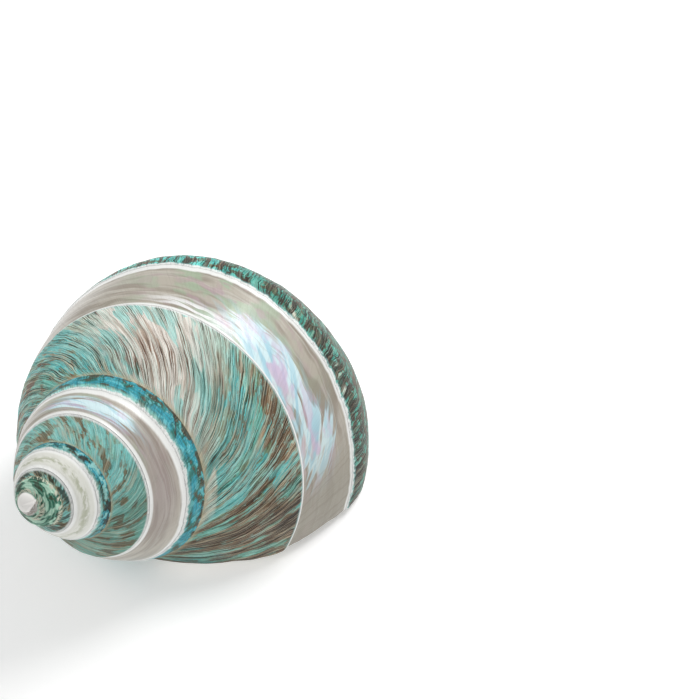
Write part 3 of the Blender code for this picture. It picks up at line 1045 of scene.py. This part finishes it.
def pearl_layer(g, at, flow):
    """Colour of the worn band: grey beige nacre with green, mauve and rose streaks, a painted highlight of
    white, blue and pink streaks, and painted shade towards the lip.
    """
    length, place, age = at
    across = place + g.noise(length * 0.12, place * 7.0, 50.0) * 0.10
    streak = g.noise(length * 0.08, across * 16.0, 51.0, 2.0)
    thin = g.noise(length * 0.07, across * 44.0, 52.0, 2.0)
    drift = g.noise(length * 0.14, across * 7.0, 55.0)
    cloud = g.noise(length * 0.22, across * 12.0, 58.0)
    ripple = g.noise(length * 0.40 + place * 16.0, place * 7.0, 61.0, 2.0)
    coloured = g.hump(age, -1.55, 1.0).most(g.patch(age, place, (-8.0, 0.5), (1.6, 0.3)) * 0.8)
    sheen = g.patches(age, place, sheen_patches)
    plain = g.ease(age, -0.55, -0.25)

    colour = g.mix(g.ease(streak, 0.42, 0.58), shade.nacre_dark, shade.nacre)
    colour = g.mix(g.ease(thin, 0.50, 0.60) * 0.35, colour, shade.nacre_light)
    colour = g.mix(coloured * g.ease(drift, 0.48, 0.56) * 0.75, colour, shade.nacre_green)
    colour = g.mix(coloured * g.ease(cloud, 0.54, 0.62) * 0.6, colour, shade.nacre_mauve)

    # Painted highlight: white streaks where the band catches the light, then blue and pink tints in it
    shine = streak * 0.55 + thin * 0.45
    shine = shine + (ripple - shine) * g.ease(age, -0.85, -0.6)
    shining = g.ease(shine + 0.30 * sheen, 0.60, 0.68) * g.ease(sheen, 0.05, 0.3)
    colour = g.mix(shining, colour, shade.sheen)
    colour = g.mix(sheen * g.ease(ripple, 0.46, 0.57) * 0.9, colour, shade.sheen_blue)
    colour = g.mix(sheen * g.ease(cloud, 0.49, 0.60) * 0.8, colour, shade.sheen_pink)
    rose = g.hump(place - 0.06 * age, 0.60, 0.07) * g.ease(age, -1.3, -0.8) * g.ease(cloud, 0.44, 0.54)
    colour = g.mix(rose * 0.6, colour, shade.rose)
    # Painted highlight: a white streak near the band's inner edge
    white = g.patch(age, place, (-1.78, 0.53), (0.45, 0.09)) * g.ease(thin, 0.44, 0.52)
    colour = g.mix(white, colour, shade.white)

    colour = g.mix(plain * 0.75, colour, shade.nacre_plain)
    lines = g.ease(g.noise(flow * 2.0, place * 2.0, 63.0), 0.50, 0.60)
    colour = g.mix(lines * (0.08 + 0.25 * plain), colour, shade.nacre_line)
    colour = g.mix(g.patch(age, place, (-6.9, 0.50), (1.1, 0.3)) * 0.6, colour, shade.nacre_second)
    early = g.ease(age, -10.5, -12.0)
    colour = g.mix(early * 0.78, colour, shade.nacre_early)
    # Painted shade: the nacre darker towards the lip
    colour = g.mix(g.ease(age, -1.1, -0.4) * 0.8, colour, shade.nacre_painted_shade, "MULTIPLY")
    ragged = g.noise(length * 0.5, place * 9.0, 59.0, 3.0, 0.6) - 0.5
    olive = g.hump(place + ragged * 0.3, 0.46, 0.12) * early * g.ease(ragged, -0.08, 0.04)
    return g.mix(olive * 0.55, colour, shade.nacre_olive)


def inside_layer(g, at, into_mouth):
    """Colour of the lip and the hollow: white and cream nacre with grey and yellow-green clouds."""
    length, place, _ = at
    cloud = g.noise(length * 0.16, place * 1.2, 71.0, 3.0)
    colour = g.mix(g.ease(cloud, 0.42, 0.62), shade.lip_cream, shade.lip_grey)
    tinged = g.ease(g.noise(length * 0.1, place * 2.2, 73.0, 2.0), 0.5, 0.66)
    colour = g.mix(tinged * 0.5, colour, shade.lip_green)
    speck = g.ease(g.noise(length * 1.6, place * 3.0, 75.0, 2.0), 0.48, 0.60) * g.hump(into_mouth, 0.14, 0.13)
    return g.mix(speck * 0.7, colour, shade.lip_speck)


def build_stage():
    """A wide pale floor that fills the view and glows a little."""
    mesh = bpy.data.meshes.new("floor")
    sides = ((-1.0, -1.0), (1.0, -1.0), (1.0, 1.0), (-1.0, 1.0))
    mesh.from_pydata([(x * floor_half, y * floor_half, 0.0) for x, y in sides], [], [(0, 1, 2, 3)])
    floor = bpy.data.objects.new("floor", mesh)
    bpy.context.scene.collection.objects.link(floor)
    g = Graph("floor")
    g.put(tone(250, 250, 250), g.shader.inputs["Base Color"])
    g.put(0.8, g.shader.inputs["Roughness"])
    g.put((1.0, 1.0, 1.0), g.shader.inputs["Emission Color"])
    g.put(floor_glow, g.shader.inputs["Emission Strength"])
    mesh.materials.append(g.material)


def add_light(name, place, size, power):
    """Square soft white light at a place, aimed at the middle of the shell."""
    lamp = bpy.data.lights.new(name, "AREA")
    lamp.size = size
    lamp.energy = power
    lamp_object = bpy.data.objects.new(name, lamp)
    bpy.context.scene.collection.objects.link(lamp_object)
    lamp_object.location = place
    lamp_object.rotation_euler = (light_aim - Vector(place)).to_track_quat("-Z", "Y").to_euler()


def light_stage():
    """Bright plain surroundings with a soft main light high on the right."""
    world = bpy.data.worlds.new("studio")
    world.use_nodes = True
    surroundings = world.node_tree.nodes["Background"].inputs
    surroundings["Color"].default_value = (1.0, 1.0, 1.0, 1.0)
    surroundings["Strength"].default_value = world_strength
    bpy.context.scene.world = world
    add_light("main", (0.17, 0.13, 0.30), 0.16, 0.76)
    add_light("fill", (-0.25, 0.02, 0.25), 0.25, 0.15)


def place_camera():
    """The photograph's viewpoint: 45.5 degrees above the table, tipped 1.35 degrees."""
    level = np.array([1.0, 0.0, 0.0])
    lifted = np.array([0.0, math.sin(camera_down), math.cos(camera_down)])
    right = math.cos(camera_roll) * level + math.sin(camera_roll) * lifted
    back = np.array([0.0, -math.cos(camera_down), math.sin(camera_down)])
    up = np.cross(back, right)
    data = bpy.data.cameras.new("camera")
    data.lens = camera_lens
    data.sensor_width = sensor_width
    data.clip_start = nearest_seen
    camera = bpy.data.objects.new("camera", data)
    bpy.context.scene.collection.objects.link(camera)
    turned = Matrix((right, up, back)).transposed().to_4x4()
    camera.matrix_world = Matrix.Translation(Vector(camera_eye)) @ turned
    bpy.context.scene.camera = camera


build_shell(shell_material())
build_stage()
light_stage()
place_camera()
bpy.context.scene.view_settings.view_transform = "Standard"
